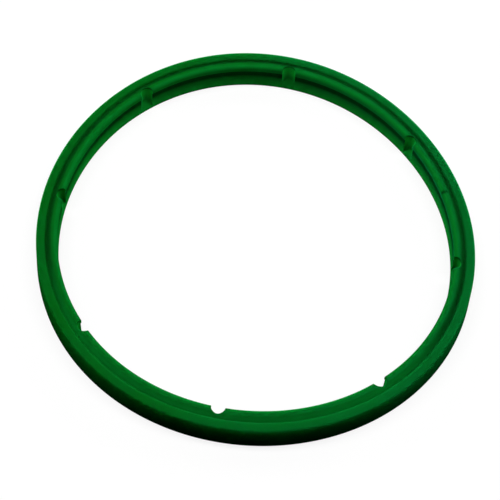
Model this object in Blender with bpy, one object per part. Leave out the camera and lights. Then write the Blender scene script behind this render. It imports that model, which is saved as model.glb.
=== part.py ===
"""Hydraulic wiper seal: one polyurethane ring, turned from the solid, with eight relief notches.

Run with: blender --background --python part.py
Metres, +Z up. The ring stands on z = 0 round the Z axis, heel side up and lip side down.
The first notch is on +X, and the others follow at equal angles.
"""

import math

import bmesh
import bpy
from mathutils import Matrix, Vector

MM = 0.001

# Main sizes
BORE_RADIUS = 50.0 * MM
SECTION_WIDTH = 5.75 * MM
BODY_HEIGHT = 7.4 * MM

# Outer wall, narrower at the heel than at the foot
WALL_TAPER = 0.45 * MM
HEEL_EDGE_RADIUS = 0.25 * MM
FOOT_EDGE_RADIUS = 0.3 * MM

# Heel bead, which stands a little above the flat land
BEAD_WIDTH = 1.5 * MM
BEAD_RISE = 0.35 * MM
BEAD_NOSE_HEIGHT = 1.65 * MM
BEAD_NOSE_RADIUS = 0.9 * MM
BEAD_SHOULDER_RADIUS = 0.45 * MM
BEAD_HEEL_RADIUS = 0.15 * MM

# Shallow groove: a steep step down from the land, then a gentle rise to the bead
GROOVE_WIDTH = 1.7 * MM
GROOVE_DEPTH = 0.7 * MM
GROOVE_STEP_WIDTH = 0.3 * MM
GROOVE_FLOOR_RADIUS = 0.25 * MM
GROOVE_EDGE_RADIUS = 0.3 * MM

# Undercut below the bead, and the flank that runs in from it to the lip
UNDERCUT_DEPTH = 0.28 * MM
UNDERCUT_ROOF_DROP = 0.35 * MM
UNDERCUT_ROOF_RADIUS = 0.3 * MM
LIP_REACH = 0.08 * MM
LIP_FLANK_HEIGHT = 3.2 * MM
LIP_FLANK_RADIUS = 5.0 * MM
LIP_EDGE_RADIUS = 0.12 * MM

# Underside: the lip's foot, the relief groove behind it and the outer foot
LIP_FOOT_WIDTH = 0.8 * MM
RELIEF_MOUTH_WIDTH = 2.6 * MM
RELIEF_ROOF_WIDTH = 1.3 * MM
RELIEF_DEPTH = 1.3 * MM
RELIEF_ROOF_RADIUS = 0.5 * MM

# Notches through the heel bead, with floors that fall from the back wall towards the lip
NOTCH_COUNT = 8
NOTCH_RADIUS = 1.7 * MM
NOTCH_DEPTH = 1.85 * MM
NOTCH_FLOOR_HEIGHT = 2.6 * MM
NOTCH_FLOOR_SLOPE = math.radians(45)

# Facets
RING_STEPS = 120
ARC_STEP = math.radians(36)
NOTCH_SIDES = 32
SHARP_ANGLE = math.radians(35)

# Finish
GREEN = (0.003, 0.125, 0.020, 1.0)
ROUGHNESS = 0.42

FOOT_RADIUS = BORE_RADIUS + SECTION_WIDTH
CREST_HEIGHT = BODY_HEIGHT + BEAD_RISE


def clear_scene():
    for obj in list(bpy.data.objects):
        bpy.data.objects.remove(obj)


def polyurethane():
    """Satin green polyurethane."""
    material = bpy.data.materials.new("green_polyurethane")
    material.use_nodes = True
    shader = material.node_tree.nodes["Principled BSDF"]
    shader.inputs["Base Color"].default_value = GREEN
    shader.inputs["Roughness"].default_value = ROUGHNESS
    shader.inputs["Metallic"].default_value = 0.0
    return material


def rounded_corner(before, corner, after, radius):
    """Points of the arc that rounds this corner, with its radius limited by the shorter side."""
    if radius == 0:
        return [corner]
    to_before = (before - corner).normalized()
    to_after = (after - corner).normalized()
    opening = to_before.angle(to_after)
    shorter_side = min((before - corner).length, (after - corner).length)
    reach = min(radius / math.tan(opening / 2), shorter_side / 2)
    radius = reach * math.tan(opening / 2)
    centre = corner + (to_before + to_after).normalized() * (reach / math.cos(opening / 2))
    start = corner + to_before * reach - centre
    end = corner + to_after * reach - centre
    turn = start.angle_signed(end)
    steps = max(2, math.ceil(abs(turn) / ARC_STEP))
    arc = []
    for step in range(steps + 1):
        arc.append(centre + Matrix.Rotation(-turn * step / steps, 2) @ start)
    return arc


def section():
    """The turned section as points of radius and height, round from the lip's foot."""
    undercut = BORE_RADIUS + UNDERCUT_DEPTH
    lip = undercut - LIP_REACH
    bead = BORE_RADIUS + BEAD_WIDTH
    land = bead + GROOVE_WIDTH
    relief_middle = lip + LIP_FOOT_WIDTH + RELIEF_MOUTH_WIDTH / 2
    nose_bottom = CREST_HEIGHT - BEAD_NOSE_HEIGHT
    corners = [
        (lip, 0, LIP_EDGE_RADIUS),
        (lip + LIP_FOOT_WIDTH, 0, 0),
        (relief_middle - RELIEF_ROOF_WIDTH / 2, RELIEF_DEPTH, RELIEF_ROOF_RADIUS),
        (relief_middle + RELIEF_ROOF_WIDTH / 2, RELIEF_DEPTH, RELIEF_ROOF_RADIUS),
        (lip + LIP_FOOT_WIDTH + RELIEF_MOUTH_WIDTH, 0, 0),
        (FOOT_RADIUS, 0, FOOT_EDGE_RADIUS),
        (FOOT_RADIUS - WALL_TAPER, BODY_HEIGHT, HEEL_EDGE_RADIUS),
        (land, BODY_HEIGHT, GROOVE_EDGE_RADIUS),
        (land - GROOVE_STEP_WIDTH, BODY_HEIGHT - GROOVE_DEPTH, GROOVE_FLOOR_RADIUS),
        (bead, CREST_HEIGHT, BEAD_SHOULDER_RADIUS),
        (BORE_RADIUS, CREST_HEIGHT, BEAD_NOSE_RADIUS),
        (BORE_RADIUS, nose_bottom, BEAD_HEEL_RADIUS),
        (undercut, nose_bottom - UNDERCUT_ROOF_DROP, UNDERCUT_ROOF_RADIUS),
        (undercut, LIP_FLANK_HEIGHT, LIP_FLANK_RADIUS),
    ]
    places = [Vector((radius, height)) for radius, height, rounding in corners]
    outline = []
    for index, (radius, height, rounding) in enumerate(corners):
        before = places[index - 1]
        after = places[(index + 1) % len(places)]
        outline.extend(rounded_corner(before, places[index], after, rounding))
    return outline


def turned_ring():
    """The section spun round the Z axis."""
    mesh = bpy.data.meshes.new("wiper_ring")
    shape = bmesh.new()
    points = [shape.verts.new((point.x, 0, point.y)) for point in section()]
    edges = []
    for index, point in enumerate(points):
        edges.append(shape.edges.new((points[index - 1], point)))
    bmesh.ops.spin(
        shape,
        geom=points + edges,
        cent=(0, 0, 0),
        axis=(0, 0, 1),
        angle=math.tau,
        steps=RING_STEPS,
        use_merge=True,
    )
    bmesh.ops.recalc_face_normals(shape, faces=shape.faces)
    shape.to_mesh(mesh)
    shape.free()
    ring = bpy.data.objects.new("wiper_ring", mesh)
    bpy.context.collection.objects.link(ring)
    ring.data.materials.append(polyurethane())
    return ring


def notch_cutter():
    """One upright round bar for each notch, with its lower end cut to the slope of the notch floor."""
    mesh = bpy.data.meshes.new("notch_cutter")
    shape = bmesh.new()
    back_wall = BORE_RADIUS + NOTCH_DEPTH
    upright = Matrix.Translation((back_wall - NOTCH_RADIUS, 0, CREST_HEIGHT))
    for index in range(NOTCH_COUNT):
        bar = bmesh.ops.create_cone(
            shape,
            cap_ends=True,
            segments=NOTCH_SIDES,
            radius1=NOTCH_RADIUS,
            radius2=NOTCH_RADIUS,
            depth=CREST_HEIGHT,
            matrix=upright,
        )
        for point in bar["verts"]:
            if point.co.z < CREST_HEIGHT:
                fall = (back_wall - point.co.x) * math.tan(NOTCH_FLOOR_SLOPE)
                point.co.z = NOTCH_FLOOR_HEIGHT - fall
        around = Matrix.Rotation(math.tau * index / NOTCH_COUNT, 4, "Z")
        bmesh.ops.transform(shape, matrix=around, verts=bar["verts"])
    bmesh.ops.recalc_face_normals(shape, faces=shape.faces)
    shape.to_mesh(mesh)
    shape.free()
    cutter = bpy.data.objects.new("notch_cutter", mesh)
    bpy.context.collection.objects.link(cutter)
    cutter.hide_render = True
    cutter.display_type = "WIRE"
    return cutter


def cut_notches(ring):
    notches = ring.modifiers.new("relief notches", "BOOLEAN")
    notches.operation = "DIFFERENCE"
    notches.solver = "EXACT"
    notches.object = notch_cutter()


def main():
    clear_scene()
    ring = turned_ring()
    ring.data.shade_smooth()
    ring.data.set_sharp_from_angle(angle=SHARP_ANGLE)
    cut_notches(ring)


main()
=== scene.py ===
"""The hydraulic wiper seal, dressed for its picture: one soft green ring on a white table."""

import math
from types import SimpleNamespace

import bmesh
import bpy
import numpy as np
from mathutils import Matrix, Vector

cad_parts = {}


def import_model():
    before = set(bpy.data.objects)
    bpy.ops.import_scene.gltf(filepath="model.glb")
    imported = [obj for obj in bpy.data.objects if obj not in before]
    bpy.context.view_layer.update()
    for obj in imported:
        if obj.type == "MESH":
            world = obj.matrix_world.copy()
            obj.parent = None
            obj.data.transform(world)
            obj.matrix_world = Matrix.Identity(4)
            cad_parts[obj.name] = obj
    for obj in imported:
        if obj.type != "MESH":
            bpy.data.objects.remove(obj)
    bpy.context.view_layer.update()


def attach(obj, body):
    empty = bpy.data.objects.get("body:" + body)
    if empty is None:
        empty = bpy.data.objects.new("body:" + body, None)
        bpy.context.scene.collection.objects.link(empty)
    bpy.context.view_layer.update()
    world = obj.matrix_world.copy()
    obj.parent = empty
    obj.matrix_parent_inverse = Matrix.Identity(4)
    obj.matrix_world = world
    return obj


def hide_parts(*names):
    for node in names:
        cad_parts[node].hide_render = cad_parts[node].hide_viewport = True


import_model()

MM = 0.001

# Section of the ring, as in the solid
BORE_RADIUS = 50.0 * MM
SECTION_WIDTH = 5.75 * MM
BODY_HEIGHT = 7.4 * MM
WALL_TAPER = 0.45 * MM
HEEL_EDGE_RADIUS = 0.25 * MM
FOOT_EDGE_RADIUS = 0.3 * MM
BEAD_WIDTH = 1.5 * MM
BEAD_RISE = 0.35 * MM
BEAD_NOSE_HEIGHT = 1.65 * MM
BEAD_NOSE_RADIUS = 0.9 * MM
BEAD_SHOULDER_RADIUS = 0.45 * MM
BEAD_HEEL_RADIUS = 0.15 * MM
GROOVE_WIDTH = 1.7 * MM
GROOVE_DEPTH = 0.7 * MM
GROOVE_STEP_WIDTH = 0.3 * MM
GROOVE_FLOOR_RADIUS = 0.25 * MM
GROOVE_EDGE_RADIUS = 0.3 * MM
UNDERCUT_DEPTH = 0.28 * MM
UNDERCUT_ROOF_DROP = 0.35 * MM
UNDERCUT_ROOF_RADIUS = 0.3 * MM
LIP_REACH = 0.08 * MM
LIP_FLANK_HEIGHT = 3.2 * MM
LIP_FLANK_RADIUS = 5.0 * MM
LIP_EDGE_RADIUS = 0.12 * MM
LIP_FOOT_WIDTH = 0.8 * MM
RELIEF_MOUTH_WIDTH = 2.6 * MM
RELIEF_ROOF_WIDTH = 1.3 * MM
RELIEF_DEPTH = 1.3 * MM
RELIEF_ROOF_RADIUS = 0.5 * MM

# Notches through the heel bead
NOTCH_COUNT = 8
NOTCH_RADIUS = 1.7 * MM
NOTCH_DEPTH = 1.85 * MM
NOTCH_FLOOR_HEIGHT = 2.6 * MM
NOTCH_FLOOR_SLOPE = math.radians(45)

# The soft ring's lie within the solid's box: slightly oval, with three gentle lobes
OVAL_COSINE = -0.0094
OVAL_SINE = -0.0094
LOBE_COSINE = 0.0030
LOBE_SINE = -0.0091
LIE_RADIUS = 55.7 * MM
TURNED_PLACE = "turned_place"

# Fineness of the mesh
RING_STEPS = 720
ARC_STEP = math.radians(12)
NOTCH_SIDES = 96
SHARP_ANGLE = math.radians(30)

FOOT_RADIUS = BORE_RADIUS + SECTION_WIDTH
CREST_HEIGHT = BODY_HEIGHT + BEAD_RISE

# Camera, turned about the ring's axis so that the first notch lies where the photograph has it
CAMERA_TURN = math.radians(6.35)
CAMERA_ELEVATION = math.radians(58.335)
CAMERA_ROLL = math.radians(4.54)
CAMERA_DISTANCE = 0.34306
CAMERA_TARGET = (-1.479 * MM, -6.895 * MM)
CAMERA_LENS = 100.44
CAMERA_CLIP = 0.01
SENSOR_WIDTH = 36.0

# Lamps as the camera sees them: place to the right, behind and up, then width, depth and power
KEY_LAMP = ((0.0, 0.05, 0.65), 0.8, 0.10, 4.6)
LEFT_LAMP = ((-0.45, 0.24, 0.26), 0.3, 0.25, 0.96)
RIGHT_LAMP = ((0.45, 0.32, 0.26), 0.3, 0.25, 1.26)

# Table and backdrop: the floor sends back little light, except inside the ring's far half
WHITE = (1.0, 1.0, 1.0, 1.0)
DARK_FLOOR = (0.04, 0.04, 0.04, 1.0)
PALE_FLOOR = (0.6, 0.6, 0.6, 1.0)
PALE_FLOOR_EDGES = (BORE_RADIUS + 1.4 * MM, BORE_RADIUS)
PALE_FLOOR_START = (-20.0 * MM, 20.0 * MM)
SHADOW_SHARE = 0.14
TABLE_RADIUS = 3.0
TABLE_SIDES = 64

# Greens of the polyurethane, and the painted shade, painted highlight and painted light laid over them
GREEN_DEEP = (0.0014, 0.108, 0.007, 1.0)
GREEN_LIGHT = (0.0014, 0.122, 0.018, 1.0)
# Painted highlight on the bead's crest
CREST_PAINTED_HIGHLIGHT = (0.0016, 0.140, 0.014, 1.0)
# Painted shade in the groove, and painted light in its place at the front
GROOVE_PAINTED_SHADE = (0.0007, 0.037, 0.0037, 1.0)
GROOVE_FRONT_PAINTED_LIGHT = (0.0016, 0.165, 0.017, 1.0)
# Painted shade in the recess under the bead, also used in the nick
RECESS_PAINTED_SHADE = (0.0004, 0.016, 0.0027, 1.0)
# Painted light on the bore wall towards the thin lip
LIP_PAINTED_LIGHT = (0.004, 0.270, 0.0215, 1.0)
# Painted light in the notches, weaker at their foot
NOTCH_PAINTED_LIGHT = (0.005, 0.430, 0.031, 1.0)
NOTCH_FOOT_PAINTED_LIGHT = (0.0028, 0.205, 0.0185, 1.0)

# Finish, rougher where it is worn
ROUGHNESS = (0.42, 0.52)
WORN_EDGES = (0.5, 1.0)
WORN_MARKS = 0.5

# How deep light soaks in: further behind the outer wall than near the bore, and least beside the notches
GLOW_COLOURS = (0.3, 1.0, 0.8)
GLOW_DEPTH_BORE = 5.0 * MM
GLOW_DEPTH_WALL = 17.0 * MM
WALL_EDGES = (55.0 * MM, 55.2 * MM)
NOTCH_GLOW_EDGES = (NOTCH_RADIUS + 0.2 * MM, NOTCH_RADIUS + 1.5 * MM)
NOTCH_GLOW_SHARE = 0.2

# Where the tone of the ring and its painted shade and light change, as radii and heights, each from none
# of the tone to all of it
DYE_EDGES = (0.2, 0.9)
DYE_CLOUDS = 0.6
DYE_RIGHTWARD = 0.5
GROOVE_MIDDLE = 52.35 * MM
GROOVE_REACH = 1.4 * MM
GROOVE_HEIGHTS = (BODY_HEIGHT - 1.5 * MM, BODY_HEIGHT - MM)
GROOVE_SHARE = 0.85
FRONT_EDGES = (-15.0 * MM, -38.0 * MM)
CREST_RADII = (51.2 * MM, 50.7 * MM)
CREST_HEIGHTS = (CREST_HEIGHT - MM, CREST_HEIGHT - 0.3 * MM)
BORE_WALL_RADII = (51.4 * MM, 50.4 * MM)
LIP_HEIGHTS = (4.2 * MM, 0.3 * MM)
RECESS_TOP = (6.0 * MM, 5.7 * MM)
RECESS_FOOT = (3.2 * MM, 4.6 * MM)
RECESS_SHARE = 0.8
NOTCH_EDGES = (NOTCH_RADIUS + 0.04 * MM, NOTCH_RADIUS - 0.02 * MM)
NOTCH_HEIGHTS = (2.0 * MM, 6.0 * MM)
NOTCH_RIM = (BODY_HEIGHT, BODY_HEIGHT - 0.6 * MM)
NOTCH_SHARE_AT_FRONT = 0.9

# A small nick across the bead
NICK_ANGLE = CAMERA_TURN + math.radians(17.9)
NICK_HALF_ANGLE = math.radians(0.9)
NICK_RADII = (51.6 * MM, 51.3 * MM)
NICK_HEIGHTS = (CREST_HEIGHT - 1.2 * MM, CREST_HEIGHT - 0.4 * MM)
NICK_SHARE = 0.8

# Clouds of the dye, turning marks along the ring and fine grain, each as its scale and detail
CLOUDS = (90.0, 3.0)
MARKS = (2600.0, 2.0)
GRAIN = (3500.0, 3.0)
MARK_LENGTH = 4.0 * MM

# Fine relief, as shares of the marks, the grain and the nick, and the softened rims
MARK_RELIEF = 0.6
GRAIN_RELIEF = 0.4
NICK_RELIEF = 2.0
BUMP_STRENGTH = 0.35
BUMP_DEPTH = 0.05 * MM
RIM_RADIUS = 0.18 * MM
RIM_SAMPLES = 6


def rounded_corner(before, corner, after, radius):
    """Points of the arc that rounds this corner, with its radius limited by the shorter side."""
    if radius == 0:
        return [corner]
    to_before = (before - corner).normalized()
    to_after = (after - corner).normalized()
    opening = to_before.angle(to_after)
    shorter_side = min((before - corner).length, (after - corner).length)
    reach = min(radius / math.tan(opening / 2), shorter_side / 2)
    radius = reach * math.tan(opening / 2)
    centre = corner + (to_before + to_after).normalized() * (reach / math.cos(opening / 2))
    start = corner + to_before * reach - centre
    end = corner + to_after * reach - centre
    turn = start.angle_signed(end)
    steps = max(2, math.ceil(abs(turn) / ARC_STEP))
    return [centre + Matrix.Rotation(-turn * step / steps, 2) @ start for step in range(steps + 1)]


def section():
    """The turned section as points of radius and height, round from the lip's foot."""
    undercut = BORE_RADIUS + UNDERCUT_DEPTH
    lip = undercut - LIP_REACH
    bead = BORE_RADIUS + BEAD_WIDTH
    land = bead + GROOVE_WIDTH
    relief_middle = lip + LIP_FOOT_WIDTH + RELIEF_MOUTH_WIDTH / 2
    nose_bottom = CREST_HEIGHT - BEAD_NOSE_HEIGHT
    corners = [
        (lip, 0, LIP_EDGE_RADIUS),
        (lip + LIP_FOOT_WIDTH, 0, 0),
        (relief_middle - RELIEF_ROOF_WIDTH / 2, RELIEF_DEPTH, RELIEF_ROOF_RADIUS),
        (relief_middle + RELIEF_ROOF_WIDTH / 2, RELIEF_DEPTH, RELIEF_ROOF_RADIUS),
        (lip + LIP_FOOT_WIDTH + RELIEF_MOUTH_WIDTH, 0, 0),
        (FOOT_RADIUS, 0, FOOT_EDGE_RADIUS),
        (FOOT_RADIUS - WALL_TAPER, BODY_HEIGHT, HEEL_EDGE_RADIUS),
        (land, BODY_HEIGHT, GROOVE_EDGE_RADIUS),
        (land - GROOVE_STEP_WIDTH, BODY_HEIGHT - GROOVE_DEPTH, GROOVE_FLOOR_RADIUS),
        (bead, CREST_HEIGHT, BEAD_SHOULDER_RADIUS),
        (BORE_RADIUS, CREST_HEIGHT, BEAD_NOSE_RADIUS),
        (BORE_RADIUS, nose_bottom, BEAD_HEEL_RADIUS),
        (undercut, nose_bottom - UNDERCUT_ROOF_DROP, UNDERCUT_ROOF_RADIUS),
        (undercut, LIP_FLANK_HEIGHT, LIP_FLANK_RADIUS),
    ]
    places = [Vector((radius, height)) for radius, height, rounding in corners]
    outline = []
    for index, (radius, height, rounding) in enumerate(corners):
        before = places[index - 1]
        after = places[(index + 1) % len(places)]
        outline.extend(rounded_corner(before, places[index], after, rounding))
    return outline


def turned_ring():
    """The section spun round the Z axis in fine steps."""
    mesh = bpy.data.meshes.new("turned_ring")
    shape = bmesh.new()
    points = [shape.verts.new((point.x, 0, point.y)) for point in section()]
    edges = [shape.edges.new((points[index - 1], point)) for index, point in enumerate(points)]
    bmesh.ops.spin(
        shape,
        geom=points + edges,
        cent=(0, 0, 0),
        axis=(0, 0, 1),
        angle=math.tau,
        steps=RING_STEPS,
        use_merge=True,
    )
    bmesh.ops.recalc_face_normals(shape, faces=shape.faces)
    shape.to_mesh(mesh)
    shape.free()
    ring = bpy.data.objects.new("turned_ring", mesh)
    bpy.context.scene.collection.objects.link(ring)
    return ring


def notch_bars():
    """One upright round bar for each notch, with its lower end cut to the slope of the notch floor."""
    mesh = bpy.data.meshes.new("notch_bars")
    shape = bmesh.new()
    back_wall = BORE_RADIUS + NOTCH_DEPTH
    upright = Matrix.Translation((back_wall - NOTCH_RADIUS, 0, CREST_HEIGHT))
    for index in range(NOTCH_COUNT):
        bar = bmesh.ops.create_cone(
            shape,
            cap_ends=True,
            segments=NOTCH_SIDES,
            radius1=NOTCH_RADIUS,
            radius2=NOTCH_RADIUS,
            depth=CREST_HEIGHT,
            matrix=upright,
        )
        for point in bar["verts"]:
            if point.co.z < CREST_HEIGHT:
                fall = (back_wall - point.co.x) * math.tan(NOTCH_FLOOR_SLOPE)
                point.co.z = NOTCH_FLOOR_HEIGHT - fall
        around = Matrix.Rotation(math.tau * index / NOTCH_COUNT, 4, "Z")
        bmesh.ops.transform(shape, matrix=around, verts=bar["verts"])
    bmesh.ops.recalc_face_normals(shape, faces=shape.faces)
    shape.to_mesh(mesh)
    shape.free()
    bars = bpy.data.objects.new("notch_bars", mesh)
    bpy.context.scene.collection.objects.link(bars)
    return bars


def notched_mesh():
    """The finely turned ring with its notches cut, as one plain mesh."""
    ring = turned_ring()
    bars = notch_bars()
    cut = ring.modifiers.new("notches", "BOOLEAN")
    cut.operation = "DIFFERENCE"
    cut.solver = "EXACT"
    cut.object = bars
    bpy.context.view_layer.update()
    evaluated = ring.evaluated_get(bpy.context.evaluated_depsgraph_get())
    mesh = bpy.data.meshes.new_from_object(evaluated)
    bpy.data.objects.remove(ring)
    bpy.data.objects.remove(bars)
    mesh.name = "seal_ring"
    return mesh


def settle(mesh):
    """The soft ring's lie: slightly out of round, and no wider than the solid's box.

    Each point's place as turned is kept on the mesh, because the colours follow the turned section.
    """
    places = np.empty(len(mesh.vertices) * 3)
    mesh.vertices.foreach_get("co", places)
    turned = mesh.attributes.new(TURNED_PLACE, "FLOAT_VECTOR", "POINT")
    turned.data.foreach_set("vector", places)
    places = places.reshape(-1, 3)
    radius = np.hypot(places[:, 0], places[:, 1])
    angle = np.arctan2(places[:, 1], places[:, 0])
    seen = angle - CAMERA_TURN
    oval = OVAL_COSINE * np.cos(2 * seen) + OVAL_SINE * np.sin(2 * seen)
    lobes = LOBE_COSINE * np.cos(3 * seen) + LOBE_SINE * np.sin(3 * seen)
    radius = radius * (1 + oval + lobes)
    places[:, 0] = radius * np.cos(angle)
    places[:, 1] = radius * np.sin(angle)
    low = places[:, :2].min(axis=0)
    high = places[:, :2].max(axis=0)
    places[:, :2] = (places[:, :2] - (low + high) / 2) * (2 * LIE_RADIUS / (high - low).max())
    mesh.vertices.foreach_set("co", places.ravel())
    mesh.update()


class Net:
    """A material's or a world's nodes, added one short call at a time."""

    def __init__(self, tree):
        self.tree = tree

    def add(self, kind, **settings):
        node = self.tree.nodes.new(kind)
        for name, value in settings.items():
            setattr(node, name, value)
        return node

    def feed(self, socket, value):
        if isinstance(value, bpy.types.NodeSocket):
            self.tree.links.new(value, socket)
        else:
            socket.default_value = value

    def math(self, operation, *values):
        node = self.add("ShaderNodeMath", operation=operation)
        for socket, value in zip(node.inputs, values):
            self.feed(socket, value)
        return node.outputs[0]

    def product(self, first, *others):
        for other in others:
            first = self.math("MULTIPLY", first, other)
        return first

    def length(self, first, second):
        """The length of two parts at right angles."""
        squares = self.math("ADD", self.product(first, first), self.product(second, second))
        return self.math("SQRT", squares)

    def apart(self, value, middle):
        """How far a value lies from a middle one."""
        return self.math("ABSOLUTE", self.math("SUBTRACT", value, middle))

    def ramp(self, value, edges, ends=(0.0, 1.0)):
        """A smooth step: the first end at the first edge of the value, the second end at the second."""
        node = self.add("ShaderNodeMapRange", interpolation_type="SMOOTHSTEP")
        for socket, number in zip(node.inputs, (value, *edges, *ends)):
            self.feed(socket, number)
        return node.outputs[0]

    def rest(self, share):
        """What a share leaves over."""
        return self.math("SUBTRACT", 1.0, share)

    def mix(self, share, first, second):
        node = self.add("ShaderNodeMix", data_type="RGBA")
        self.feed(node.inputs["Factor"], share)
        self.feed(node.inputs["A"], first)
        self.feed(node.inputs["B"], second)
        return node.outputs["Result"]

    def noise(self, place, scale, detail):
        node = self.add("ShaderNodeTexNoise")
        self.feed(node.inputs["Vector"], place)
        self.feed(node.inputs["Scale"], scale)
        self.feed(node.inputs["Detail"], detail)
        return node.outputs["Fac"]

    def parts(self, place):
        node = self.add("ShaderNodeSeparateXYZ")
        self.feed(node.inputs[0], place)
        return node.outputs

    def vector(self, *values):
        node = self.add("ShaderNodeCombineXYZ")
        for socket, value in zip(node.inputs, values):
            self.feed(socket, value)
        return node.outputs[0]


def turned_spot(net):
    """Where a point lay on the ring as turned, before the ring settled out of round."""
    place = net.add("ShaderNodeAttribute", attribute_name=TURNED_PLACE).outputs["Vector"]
    across, along, height = net.parts(place)
    return SimpleNamespace(
        place=place,
        across=across,
        along=along,
        height=height,
        radius=net.length(across, along),
        angle=net.math("ARCTAN2", along, across),
    )


def from_notch(net, spot):
    """How far a point lies from the axis of the nearest notch."""
    spacing = math.tau / NOTCH_COUNT
    nearest = net.product(net.math("ROUND", net.math("DIVIDE", spot.angle, spacing)), spacing)
    turn = net.math("SUBTRACT", spot.angle, nearest)
    outward = net.product(spot.radius, net.math("COSINE", turn))
    aside = net.product(spot.radius, net.math("SINE", turn))
    axis = BORE_RADIUS + NOTCH_DEPTH - NOTCH_RADIUS
    return net.length(net.math("SUBTRACT", outward, axis), aside)


def nick(net, spot):
    """1 in the middle of the small nick across the bead."""
    across = net.ramp(net.apart(spot.angle, NICK_ANGLE), (NICK_HALF_ANGLE, 0.0))
    return net.product(across, net.ramp(spot.radius, NICK_RADII), net.ramp(spot.height, NICK_HEIGHTS))


def dyed_colour(net, spot, clouds):
    """The base green: cloudy, and a little bluer to the right."""
    rightward = net.ramp(spot.across, (-FOOT_RADIUS, FOOT_RADIUS))
    dye = net.math("ADD", net.product(clouds, DYE_CLOUDS), net.product(rightward, DYE_RIGHTWARD))
    return net.mix(net.ramp(dye, DYE_EDGES), GREEN_DEEP, GREEN_LIGHT)


def groove_and_crest(net, spot, colour):
    """Painted shade in the groove, turning to painted light at the front, and a painted highlight on the
    crest.
    """
    front = net.ramp(spot.along, FRONT_EDGES)
    groove = net.ramp(net.apart(spot.radius, GROOVE_MIDDLE), (GROOVE_REACH, 0.0))
    groove = net.product(groove, net.ramp(spot.height, GROOVE_HEIGHTS), GROOVE_SHARE)
    colour = net.mix(groove, colour, net.mix(front, GROOVE_PAINTED_SHADE, GROOVE_FRONT_PAINTED_LIGHT))
    crest = net.product(net.ramp(spot.radius, CREST_RADII), net.ramp(spot.height, CREST_HEIGHTS))
    return net.mix(crest, colour, CREST_PAINTED_HIGHLIGHT)


def bore_wall(net, spot, colour, notch):
    """Painted light towards the thin lip, and painted shade in the recess under the bead."""
    wall = net.product(net.ramp(spot.radius, BORE_WALL_RADII), net.rest(notch))
    colour = net.mix(net.product(wall, net.ramp(spot.height, LIP_HEIGHTS)), colour, LIP_PAINTED_LIGHT)
    recess = net.product(wall, net.ramp(spot.height, RECESS_TOP), net.ramp(spot.height, RECESS_FOOT))
    return net.mix(net.product(recess, RECESS_SHARE), colour, RECESS_PAINTED_SHADE)


def notch_painted_light(net, spot, colour, notch):
    """Painted light in the notches, most of all high up and at the back, and none at their rims."""
    green = net.mix(net.ramp(spot.height, NOTCH_HEIGHTS), NOTCH_FOOT_PAINTED_LIGHT, NOTCH_PAINTED_LIGHT)
    share = net.ramp(spot.along, FRONT_EDGES, (1.0, NOTCH_SHARE_AT_FRONT))
    return net.mix(net.product(notch, share, net.ramp(spot.height, NOTCH_RIM)), colour, green)


def fine_relief(net, spot, marks, dent):
    """Softened rims, with the turning marks, the grain and the nick on them."""
    grain = net.noise(spot.place, *GRAIN)
    relief = net.math("ADD", net.product(marks, MARK_RELIEF), net.product(grain, GRAIN_RELIEF))
    relief = net.math("SUBTRACT", relief, net.product(dent, NICK_RELIEF))
    rims = net.add("ShaderNodeBevel", samples=RIM_SAMPLES)
    rims.inputs["Radius"].default_value = RIM_RADIUS
    bump = net.add("ShaderNodeBump")
    bump.inputs["Strength"].default_value = BUMP_STRENGTH
    bump.inputs["Distance"].default_value = BUMP_DEPTH
    net.feed(bump.inputs["Height"], relief)
    net.feed(bump.inputs["Normal"], rims.outputs["Normal"])
    return bump.outputs["Normal"]


def glow_depth(net, spot, away):
    """How deep light soaks in, behind the outer wall, near the bore and beside the notches."""
    depth = net.ramp(spot.radius, WALL_EDGES, (GLOW_DEPTH_BORE, GLOW_DEPTH_WALL))
    return net.product(depth, net.ramp(away, NOTCH_GLOW_EDGES, (NOTCH_GLOW_SHARE, 1.0)))


def polyurethane():
    """Soft satin green polyurethane, in which light soaks in and spreads."""
    material = bpy.data.materials.new("green_polyurethane")
    material.use_nodes = True
    shader = material.node_tree.nodes["Principled BSDF"]
    net = Net(material.node_tree)
    spot = turned_spot(net)
    clouds = net.noise(spot.place, *CLOUDS)
    along_marks = net.vector(spot.radius, net.product(spot.angle, MARK_LENGTH), spot.height)
    marks = net.noise(along_marks, *MARKS)
    away = from_notch(net, spot)
    notch = net.ramp(away, NOTCH_EDGES)
    dent = nick(net, spot)
    colour = dyed_colour(net, spot, clouds)
    colour = groove_and_crest(net, spot, colour)
    colour = bore_wall(net, spot, colour, notch)
    colour = notch_painted_light(net, spot, colour, notch)
    # Painted shade in the small nick
    colour = net.mix(net.product(dent, NICK_SHARE), colour, RECESS_PAINTED_SHADE)
    net.feed(shader.inputs["Base Color"], colour)
    worn = net.math("ADD", clouds, net.product(marks, WORN_MARKS))
    net.feed(shader.inputs["Roughness"], net.ramp(worn, WORN_EDGES, ROUGHNESS))
    net.feed(shader.inputs["Normal"], fine_relief(net, spot, marks, dent))
    shader.inputs["Specular IOR Level"].default_value = 0.0
    shader.inputs["Subsurface Weight"].default_value = 1.0
    shader.inputs["Subsurface Radius"].default_value = GLOW_COLOURS
    net.feed(shader.inputs["Subsurface Scale"], glow_depth(net, spot, away))
    return material


def background_rays(net):
    """1 for the rays that show the background: straight to the camera, mirrored, or through glass."""
    path = net.add("ShaderNodeLightPath")
    mirrored = net.math("MAXIMUM", path.outputs["Is Glossy Ray"], path.outputs["Is Transmission Ray"])
    return net.math("MAXIMUM", path.outputs["Is Camera Ray"], mirrored)


def mixed_shader(net, share, first, second):
    node = net.add("ShaderNodeMixShader")
    net.feed(node.inputs["Fac"], share)
    net.feed(node.inputs[1], first)
    net.feed(node.inputs[2], second)
    return node.outputs["Shader"]


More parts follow.
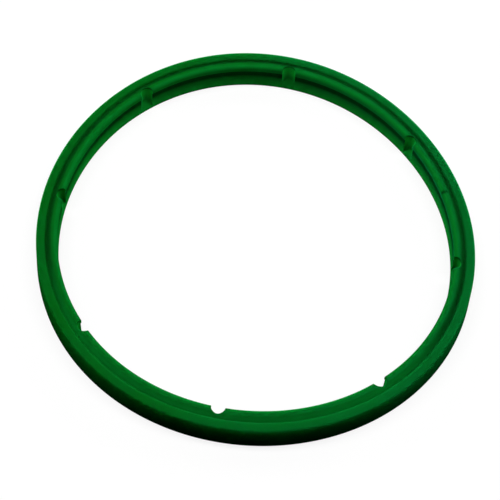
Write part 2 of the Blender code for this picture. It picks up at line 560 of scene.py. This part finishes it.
def table_material():
    """White as background, with the ring's soft shadow, and dim in the light that it sends back."""
    material = bpy.data.materials.new("table")
    material.use_nodes = True
    material.node_tree.nodes.clear()
    net = Net(material.node_tree)
    place = net.add("ShaderNodeTexCoord").outputs["Object"]
    across, along = net.parts(place)[:2]
    pale = net.ramp(net.length(across, along), PALE_FLOOR_EDGES)
    pale = net.product(pale, net.ramp(along, PALE_FLOOR_START))
    lit = net.add("ShaderNodeBsdfDiffuse")
    net.feed(lit.inputs["Color"], net.mix(pale, DARK_FLOOR, PALE_FLOOR))
    glow = net.add("ShaderNodeEmission")
    paper = net.add("ShaderNodeBsdfDiffuse")
    glow.inputs["Color"].default_value = WHITE
    paper.inputs["Color"].default_value = WHITE
    white = mixed_shader(net, SHADOW_SHARE, glow.outputs["Emission"], paper.outputs["BSDF"])
    surface = mixed_shader(net, background_rays(net), lit.outputs["BSDF"], white)
    net.feed(net.add("ShaderNodeOutputMaterial").inputs["Surface"], surface)
    return material


def table():
    """A wide plain table under the ring."""
    mesh = bpy.data.meshes.new("table")
    shape = bmesh.new()
    bmesh.ops.create_circle(shape, cap_ends=True, segments=TABLE_SIDES, radius=TABLE_RADIUS)
    shape.to_mesh(mesh)
    shape.free()
    mesh.materials.append(table_material())
    top = bpy.data.objects.new("table", mesh)
    bpy.context.scene.collection.objects.link(top)


def world():
    """White as background, and no light of its own on the ring."""
    studio = bpy.data.worlds.new("studio")
    studio.use_nodes = True
    net = Net(studio.node_tree)
    dark = studio.node_tree.nodes["Background"]
    dark.inputs["Strength"].default_value = 0.0
    white = net.add("ShaderNodeBackground")
    white.inputs["Color"].default_value = WHITE
    shown = mixed_shader(
        net,
        background_rays(net),
        dark.outputs["Background"],
        white.outputs["Background"],
    )
    net.feed(studio.node_tree.nodes["World Output"].inputs["Surface"], shown)
    bpy.context.scene.world = studio


def lamp(name, place, width, depth, power):
    """A soft lamp that faces the ring."""
    light = bpy.data.lights.new(name, "AREA")
    light.shape = "RECTANGLE"
    light.size = width
    light.size_y = depth
    light.energy = power
    holder = bpy.data.objects.new(name, light)
    holder.location = Matrix.Rotation(CAMERA_TURN, 3, "Z") @ Vector(place)
    holder.rotation_euler = (-holder.location).to_track_quat("-Z", "Y").to_euler()
    bpy.context.scene.collection.objects.link(holder)


def camera():
    """The photograph's camera, high in front of the ring and a little rolled."""
    back = Vector((0, -math.cos(CAMERA_ELEVATION), math.sin(CAMERA_ELEVATION)))
    right = Vector((1, 0, 0))
    up = back.cross(right)
    rolled_right = math.cos(CAMERA_ROLL) * right + math.sin(CAMERA_ROLL) * up
    rolled_up = -math.sin(CAMERA_ROLL) * right + math.cos(CAMERA_ROLL) * up
    facing = Matrix((rolled_right, rolled_up, back)).transposed()
    place = Vector((*CAMERA_TARGET, 0)) + back * CAMERA_DISTANCE
    turn = Matrix.Rotation(CAMERA_TURN, 3, "Z")
    data = bpy.data.cameras.new("camera")
    data.sensor_width = SENSOR_WIDTH
    data.lens = CAMERA_LENS
    data.clip_start = CAMERA_CLIP
    holder = bpy.data.objects.new("camera", data)
    place = turn @ place + Vector((0, 0, BODY_HEIGHT))
    holder.matrix_world = Matrix.Translation(place) @ (turn @ facing).to_4x4()
    bpy.context.scene.collection.objects.link(holder)
    bpy.context.scene.camera = holder


def seal_ring():
    """The dressed ring in place of the solid one."""
    mesh = notched_mesh()
    settle(mesh)
    mesh.shade_smooth()
    mesh.set_sharp_from_angle(angle=SHARP_ANGLE)
    mesh.materials.clear()
    mesh.materials.append(polyurethane())
    ring = bpy.data.objects.new("seal_ring", mesh)
    bpy.context.scene.collection.objects.link(ring)
    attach(ring, "root")
    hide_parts("wiper_ring")


seal_ring()
table()
world()
lamp("key", *KEY_LAMP)
lamp("left", *LEFT_LAMP)
lamp("right", *RIGHT_LAMP)
camera()
bpy.context.scene.view_settings.view_transform = "Standard"
